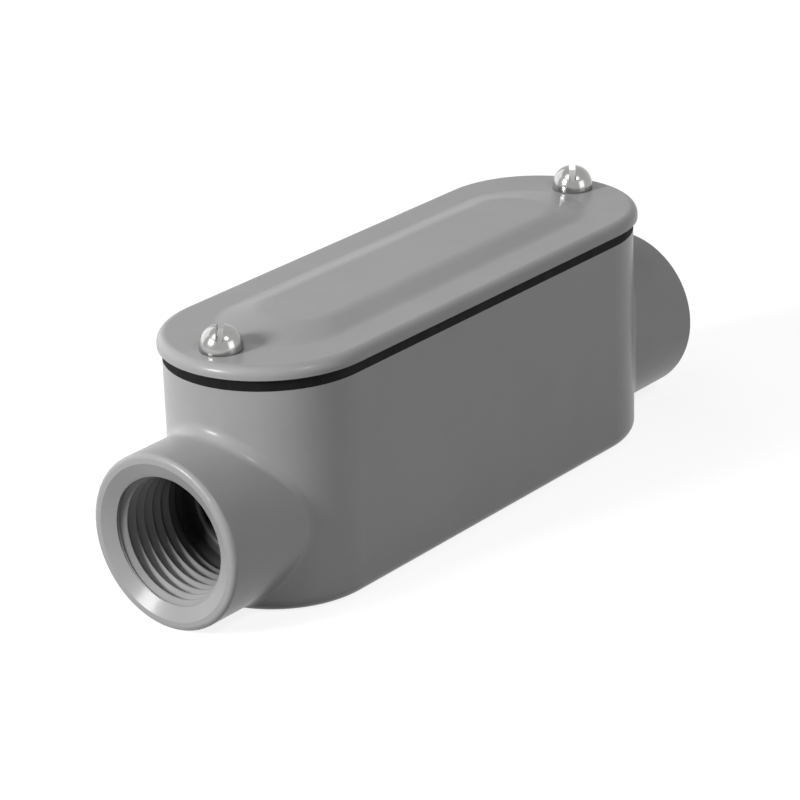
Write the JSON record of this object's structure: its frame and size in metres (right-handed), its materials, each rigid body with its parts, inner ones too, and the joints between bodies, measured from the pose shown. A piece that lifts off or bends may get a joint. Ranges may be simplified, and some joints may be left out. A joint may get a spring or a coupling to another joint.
{
  "type": "conduit body",
  "caption": "Straight-through conduit body: cast box with round ends, a threaded hub at each end, gasketed cover and two captive slotted screws.",
  "frame": {"origin": "centre of the flat back, midway between the two hubs, in the plane the back rests on", "axes": "+X along the conduit run, towards the back hub; +Z out through the cover; +Y across the box"},
  "size_m": [0.1222, 0.035, 0.0447],
  "materials": {
    "enamelled_casting": "satin",
    "gasket_rubber": "matte",
    "screw_steel": "gloss"
  },
  "bodies": {
    "housing": {"housing": "enamelled_casting"},
    "cover": {"cover": "enamelled_casting", "gasket": "gasket_rubber"},
    "front_screw": {"cover_screw_front": "screw_steel"},
    "back_screw": {"cover_screw_back": "screw_steel"}
  },
  "joints": [
    {"name": "cover_lift", "type": "slide", "parent": "housing", "child": "cover", "axis": [0, 0, 1], "range_m": [0, 0.0085]},
    {"name": "front_screw_turn", "type": "hinge", "parent": "cover", "child": "front_screw", "pos_m": [-0.0456, 0, 0.0408], "axis": [0, 0, 1], "range_deg": [0, 3860]},
    {"name": "back_screw_turn", "type": "hinge", "parent": "cover", "child": "back_screw", "pos_m": [0.0456, 0, 0.0408], "axis": [0, 0, 1], "range_deg": [0, 3860]}
  ],
  "couplings": [
    {"joint": "front_screw_turn", "follows": "cover_lift", "rad_per_m": 7915.8},
    {"joint": "back_screw_turn", "follows": "cover_lift", "rad_per_m": 7915.8}
  ]
}
